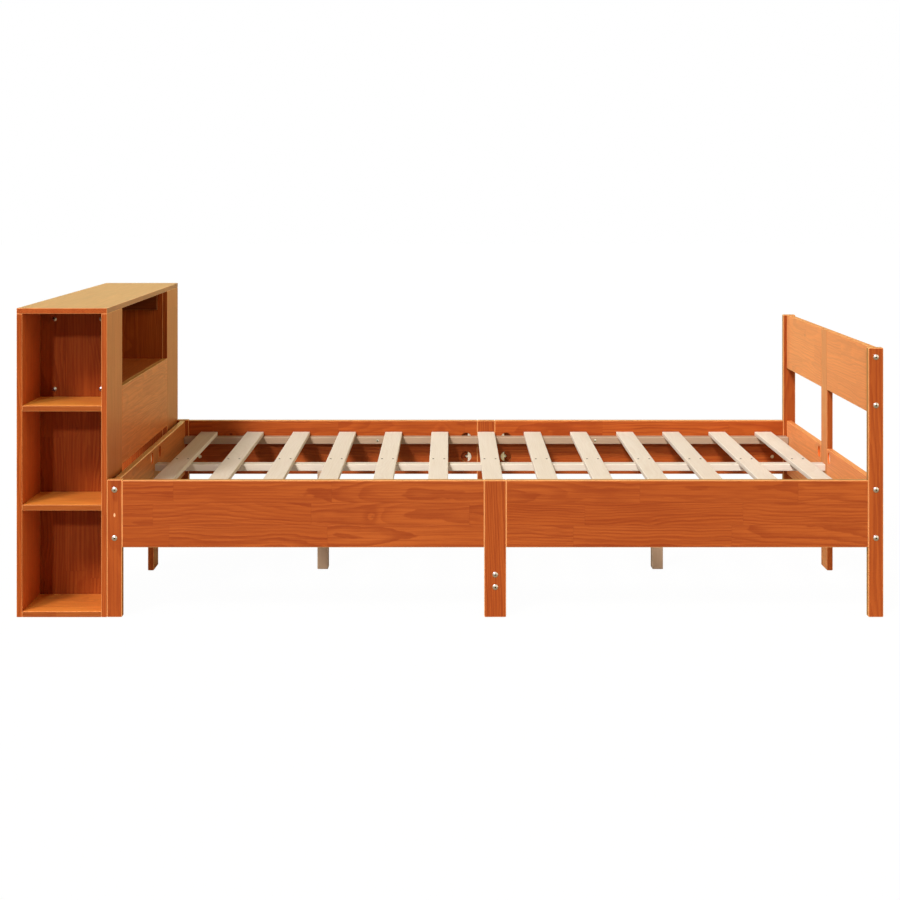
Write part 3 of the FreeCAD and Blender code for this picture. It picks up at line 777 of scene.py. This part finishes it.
bare = {
    "light": (0.78, 0.690, 0.600), "deep": (0.74, 0.645, 0.545), "dark": (0.64, 0.510, 0.400),
    "knot": (0.40, 0.240, 0.130), "painted_highlight": (0.92, 0.840, 0.710), "ring_spacing": 0.0035,
    "knot_share": 0.08, "ring_contrast": 0.20, "fibre_contrast": 0.15, "joint_contrast": 0.2,
    "highlight_amount": 0.6, "roughness": 0.60, "bump": 0.2, "gloss": 0.02, "sheen": 0.0,
    "sheen_tint": (1.0, 0.95, 0.85, 1.0),
}
browner = dict(bare, light=(0.47, 0.330, 0.235), deep=(0.43, 0.290, 0.195),
               dark=(0.36, 0.230, 0.145), knot=(0.22, 0.120, 0.070), painted_highlight=(0.66, 0.540, 0.420))
ledger_low, ledger_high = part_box("slat_ledgers")
ledger_stave = (2.4, 0.2, (ledger_high.y - ledger_low.y) / 2)
beam_leg_stave = (2.0, 0.5, 0.4)
# The painted light scale darkens the ledgers and the beam a little.
dress("slat_ledgers", "x", "z", ledger_stave, 51.0, browner, painted_light=0.93, group=True)
dress("middle_beam_head", "x", "y", whole_log, 52.0, bare, painted_light=0.9)
dress("middle_beam_foot", "x", "y", whole_log, 53.0, bare, painted_light=0.9)
dress("beam_legs", "z", "x", beam_leg_stave, 54.0, browner, group=True)


# ---- The slats ----
# Thirteen bare pine slats, planed and eased along their edges, lie across the ledgers and the beam,
# evenly spaced from the head to the foot.

slat_names = sorted(name for name in nodes if name.startswith("slat_") and name[5:].isdigit())
first_low, first_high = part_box(slat_names[0])
slat_size = first_high - first_low
slat_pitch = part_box(slat_names[1])[0].x - first_low.x

slat_row, given, made = new_group(
    "SlatRow", "GeometryNodeTree",
    {"Start": ("Geometry", None), "Slat Count": ("Int", 13), "Pitch": ("Float", 0.15),
     "Length": ("Float", 1.2), "Width": ("Float", 0.056), "Thickness": ("Float", 0.013),
     "Rounding": ("Float", 0.002), "Screw Spacing": ("Float", 0.033),
     "Screw Radius": ("Float", 0.0035), "First Place": ("Vector", None),
     "Finish": ("Material", None)},
    {"Slats": "Geometry"})
section = wire(slat_row, "GeometryNodeCurvePrimitiveQuadrilateral",
               {"Width": given["Width"], "Height": given["Thickness"]}).outputs[0]
section = wire(slat_row, "GeometryNodeFilletCurve",
               {"Curve": section, "Count": 4, "Radius": given["Rounding"]}, mode="POLY").outputs[0]
half_length = maths(slat_row, "MULTIPLY", given["Length"], 0.5)
run = wire(slat_row, "GeometryNodeCurvePrimitiveLine",
           {"Start": together(slat_row, 0.0, maths(slat_row, "MULTIPLY", half_length, -1.0), 0.0),
            "End": together(slat_row, 0.0, half_length, 0.0)}).outputs[0]
slat = wire(slat_row, "GeometryNodeCurveToMesh",
            {"Curve": run, "Profile Curve": section, "Fill Caps": True}).outputs[0]
hole_depth = maths(slat_row, "MULTIPLY", given["Screw Radius"], 0.5)
screw_hole = wire(slat_row, "GeometryNodeMeshCone",
                  {"Vertices": 24, "Radius Bottom": hole_depth, "Radius Top": given["Screw Radius"],
                   "Depth": hole_depth}).outputs["Mesh"]
half_thickness = maths(slat_row, "MULTIPLY", given["Thickness"], 0.5)
screw_hole = shifted(slat_row, screw_hole,
                     maths(slat_row, "SUBTRACT", half_thickness, hole_depth))
half_spacing_back = maths(slat_row, "MULTIPLY", given["Screw Spacing"], -0.5)
hole_places = wire(slat_row, "GeometryNodeMeshLine",
                   {"Count": 2, "Start Location": together(slat_row, half_spacing_back, 0.0, 0.0),
                    "Offset": together(slat_row, given["Screw Spacing"], 0.0, 0.0)}).outputs[0]
holes = wire(slat_row, "GeometryNodeInstanceOnPoints",
             {"Points": hole_places, "Instance": screw_hole}).outputs[0]
slat = wire(slat_row, "GeometryNodeMeshBoolean", {"Mesh 1": slat, "Mesh 2": holes},
            operation="DIFFERENCE").outputs[0]
slat_spot = wire(slat_row, "GeometryNodeInputPosition").outputs[0]
across, along, through = parts_of(slat_row, slat_spot)
slat = wire(slat_row, "GeometryNodeStoreNamedAttribute",
            {"Geometry": slat, "Name": "slat_place", 3: together(slat_row, along, across, through)},
            data_type="FLOAT_VECTOR", domain="POINT").outputs[0]
places = wire(slat_row, "GeometryNodeMeshLine",
              {"Count": given["Slat Count"], "Start Location": given["First Place"],
               "Offset": together(slat_row, given["Pitch"], 0.0, 0.0)}).outputs[0]
copies = wire(slat_row, "GeometryNodeInstanceOnPoints",
              {"Points": places, "Instance": slat}).outputs[0]
slat_number = wire(slat_row, "GeometryNodeInputIndex").outputs[0]
copies = wire(slat_row, "GeometryNodeStoreNamedAttribute",
              {"Geometry": copies, "Name": "slat_number", 3: slat_number},
              data_type="FLOAT", domain="INSTANCE").outputs[0]
real = wire(slat_row, "GeometryNodeRealizeInstances", {"Geometry": copies}).outputs[0]
slat_row.links.new(wire(slat_row, "GeometryNodeSetMaterial",
                        {"Geometry": real, "Material": given["Finish"]}).outputs[0], made["Slats"])


def slat_place_in(tree):
    """Place on a slat, with each slat cut from its own log."""
    place = wire(tree, "ShaderNodeAttribute", attribute_name="slat_place").outputs["Vector"]
    number = wire(tree, "ShaderNodeAttribute", attribute_name="slat_number").outputs["Fac"]
    log_step = maths(tree, "MULTIPLY", number, whole_log[2])
    return vectors(tree, "ADD", place, together(tree, 0.0, 0.0, log_step))


slat_pine = wood("slat_pine", slat_place_in, whole_log, 61.0, bare, painted_light=1.0)
slats = grown("slats", bpy.data.meshes.new("slats_start"), slat_row,
              {"Slat Count": len(slat_names), "Pitch": slat_pitch, "Length": slat_size.y,
               "Width": slat_size.x, "Thickness": slat_size.z, "Rounding": 0.002,
               "First Place": (first_low + first_high) / 2, "Finish": slat_pine})
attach(slats, "root")
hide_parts(*slat_names)


# ---- The wood screws ----
# Zinc-plated countersunk screws with a cross recess: two hold the middle of each slat to the beam,
# and longer ones hold the ledgers to the rails and the beam's ends to the mid posts.

wood_screw, given, made = new_group(
    "WoodScrew", "GeometryNodeTree",
    {"Seats": ("Geometry", None), "Head Radius": ("Float", 0.0035),
     "Shank Radius": ("Float", 0.00175), "Shank Length": ("Float", 0.03),
     "Crown Height": ("Float", 0.0008), "Recess Width": ("Float", 0.0009),
     "Finish": ("Material", None)},
    {"Screws": "Geometry"})
head_depth = maths(wood_screw, "SUBTRACT", given["Head Radius"], given["Shank Radius"])
countersunk = wire(wood_screw, "GeometryNodeMeshCone",
                   {"Vertices": 24, "Fill Segments": 5, "Radius Top": given["Head Radius"],
                    "Radius Bottom": given["Shank Radius"], "Depth": head_depth}).outputs["Mesh"]
countersunk = shifted(wood_screw, countersunk, maths(wood_screw, "MULTIPLY", head_depth, -1.0))
head_place = wire(wood_screw, "GeometryNodeInputPosition").outputs[0]
head_x, head_y, head_z = parts_of(wood_screw, head_place)
outward = length_of(wood_screw, together(wood_screw, head_x, head_y, 0.0))
share_out = maths(wood_screw, "DIVIDE", outward, given["Head Radius"])
crown = maths(wood_screw, "MULTIPLY", given["Crown Height"],
              maths(wood_screw, "SUBTRACT", 1.0,
                    maths(wood_screw, "MULTIPLY", share_out, share_out)))
just_under_top = -1e-5
on_top = maths(wood_screw, "GREATER_THAN", head_z, just_under_top)
countersunk = wire(wood_screw, "GeometryNodeSetPosition",
                   {"Geometry": countersunk, "Selection": on_top,
                    "Offset": together(wood_screw, 0.0, 0.0, crown)}).outputs[0]

# The cross recess: two bars cut down into the middle of the head.
arm_share = 1.2
bars_over_crown = 1.1
bars_over_rim = 0.0001
recess_share = 0.6
arm = maths(wood_screw, "MULTIPLY", given["Head Radius"], arm_share)
recess_top = maths(wood_screw, "MULTIPLY_ADD", given["Crown Height"], bars_over_crown,
                   bars_over_rim)
recess_bottom = maths(wood_screw, "MULTIPLY", head_depth, -recess_share)
recess_height = maths(wood_screw, "SUBTRACT", recess_top, recess_bottom)
recess_middle = maths(wood_screw, "MULTIPLY",
                      maths(wood_screw, "ADD", recess_top, recess_bottom), 0.5)
recessed = wire(wood_screw, "GeometryNodeMeshBoolean", {"Mesh 1": countersunk},
                operation="DIFFERENCE")
for width, depth in ((arm, given["Recess Width"]), (given["Recess Width"], arm)):
    bar_size = together(wood_screw, width, depth, recess_height)
    bar = wire(wood_screw, "GeometryNodeMeshCube", {"Size": bar_size}).outputs["Mesh"]
    bar = recess(wood_screw, shifted(wood_screw, bar, recess_middle))
    wood_screw.links.new(bar, recessed.inputs["Mesh 2"])

tip_share = 0.3
shank = wire(wood_screw, "GeometryNodeMeshCone",
             {"Vertices": 12, "Side Segments": 6, "Radius Top": given["Shank Radius"],
              "Radius Bottom": maths(wood_screw, "MULTIPLY", given["Shank Radius"], tip_share),
              "Depth": maths(wood_screw, "SUBTRACT", given["Shank Length"],
                             head_depth)}).outputs["Mesh"]
shank = shifted(wood_screw, shank, maths(wood_screw, "MULTIPLY", given["Shank Length"], -1.0))
whole_screw = joined(wood_screw, recessed.outputs[0], shank)
screws = planted(wood_screw, given["Seats"], whole_screw, given["Finish"])
wood_screw.links.new(screws, made["Screws"])

dark_steel = zinc("dark_steel", dull=(0.030, 0.024, 0.022, 1.0), bright=(0.080, 0.065, 0.060, 1.0),
                  roughness=0.5)
fit_screws("slat_screw_set", wood_screw, "slat_screws",
           {"Head Radius": 0.0035, "Shank Radius": 0.00175, "Crown Height": 0.0016,
            "Recess Width": 0.0009, "Finish": dark_steel})
fit_screws("long_screw_set", wood_screw, "long_screws",
           {"Head Radius": 0.0045, "Shank Radius": 0.00225, "Crown Height": 0.0015,
            "Recess Width": 0.0009, "Finish": rod_steel})


# ---- The bookcase's towers ----
# Two towers of 15 mm pine board, open to the sides, each with a rear board, a front board, a
# partition as its back wall and three shelves, dowelled and glued. The boards' grain runs upwards.

tower_stave = (0.9, 0.07, 0.4)
shelf_low, shelf_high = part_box("tower_shelves_right")
shelf_stave = (0.9, 0.07, (shelf_high.z - shelf_low.z) / 2)

# Inside, the varnish is thinner and redder than outside. It is fuller on the rear boards, and
# golden on the shelves.
inner_stain = dict(stained, gloss=0.06, sheen=0.2, sheen_tint=(1.0, 0.3, 0.08, 1.0))
wall_stain = dict(inner_stain, sheen=1.0)
shelf_stain = dict(wall_stain, light=(0.385, 0.104, 0.0185), deep=(0.325, 0.080, 0.0120),
                   sheen_tint=(1.0, 0.6, 0.12, 1.0), gloss=0.12)
# The rear boards and shelves are painted brighter than the partitions, painting in the light on the
# inside walls and on the shelves' tops.
for seed, side in enumerate(("right", "left")):
    dress(f"tower_rear_board_{side}", "z", "x", tower_stave, 81.0 + seed, wall_stain,
          painted_light=1.45)
    dress(f"tower_front_board_{side}", "z", "x", tower_stave, 84.0 + seed, stained, painted_light=1.4)
    dress(f"tower_partition_{side}", "z", "x", tower_stave, 87.0 + seed, inner_stain)
    dress(f"tower_shelves_{side}", "x", "y", shelf_stave, 90.0 + seed, shelf_stain, painted_light=2.2,
          group=True)
    # Painted shade on the tower boards' faces towards the bed's sides.
    paint_side_shade(f"tower_rear_board_{side}", 0.32)
    paint_side_shade(f"tower_front_board_{side}", 0.25)
    paint_side_shade(f"tower_shelves_{side}", 0.55)


# ---- The niche and the top ----
# Between the towers a shelf, a deep front panel and a back panel make an open niche over the
# pillow. Cleats at its ends hold the top board, which covers both towers.

dress("niche_shelf", "y", "x", panel_stave, 101.0, inner_stain)
dress("niche_front_panel", "y", "z", panel_stave, 102.0, stained, painted_light=1.65)
# The back panel and the cleats deep in the niche are painted darker: painted shade. The front panel
# and the top are painted brighter: painted light.
dress("niche_back_panel", "y", "z", panel_stave, 103.0, inner_stain, painted_light=0.65)
cleat_low, cleat_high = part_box("top_cleats")
cleat_stave = (0.9, 0.2, (cleat_high.y - cleat_low.y) / 2)
dress("top_cleats", "x", "z", cleat_stave, 104.0, inner_stain, painted_light=0.4, group=True)
top_stain = dict(stained, sheen=0.6, sheen_tint=(1.0, 0.95, 0.6, 1.0))
dress("bookcase_top", "y", "x", panel_stave, 105.0, top_stain, painted_light=1.1)


# ---- The bookcase's bolts, screws and dowels ----
# Smaller domed bolts go through the partitions into the niche shelf and the cleats, and screws from
# inside the towers hold the bookcase to the head posts. Beech dowels in its joints don't show.

partition_head_height = 0.0026
fit_screws("partition_bolt_set", domed_bolt, "partition_bolts",
           {"Head Radius": 0.0063, "Head Height": partition_head_height, "Rim Height": 0.0008,
            "Finish": zinc_plate}, partition_head_height)
fit_screws("case_screw_set", wood_screw, "case_fixing_screws",
           {"Head Radius": 0.004, "Shank Radius": 0.002, "Recess Width": 0.001,
            "Finish": zinc_plate})
dress("wooden_dowels", "z", "x", whole_log, 111.0, bare, painted_light=0.8, group=True)
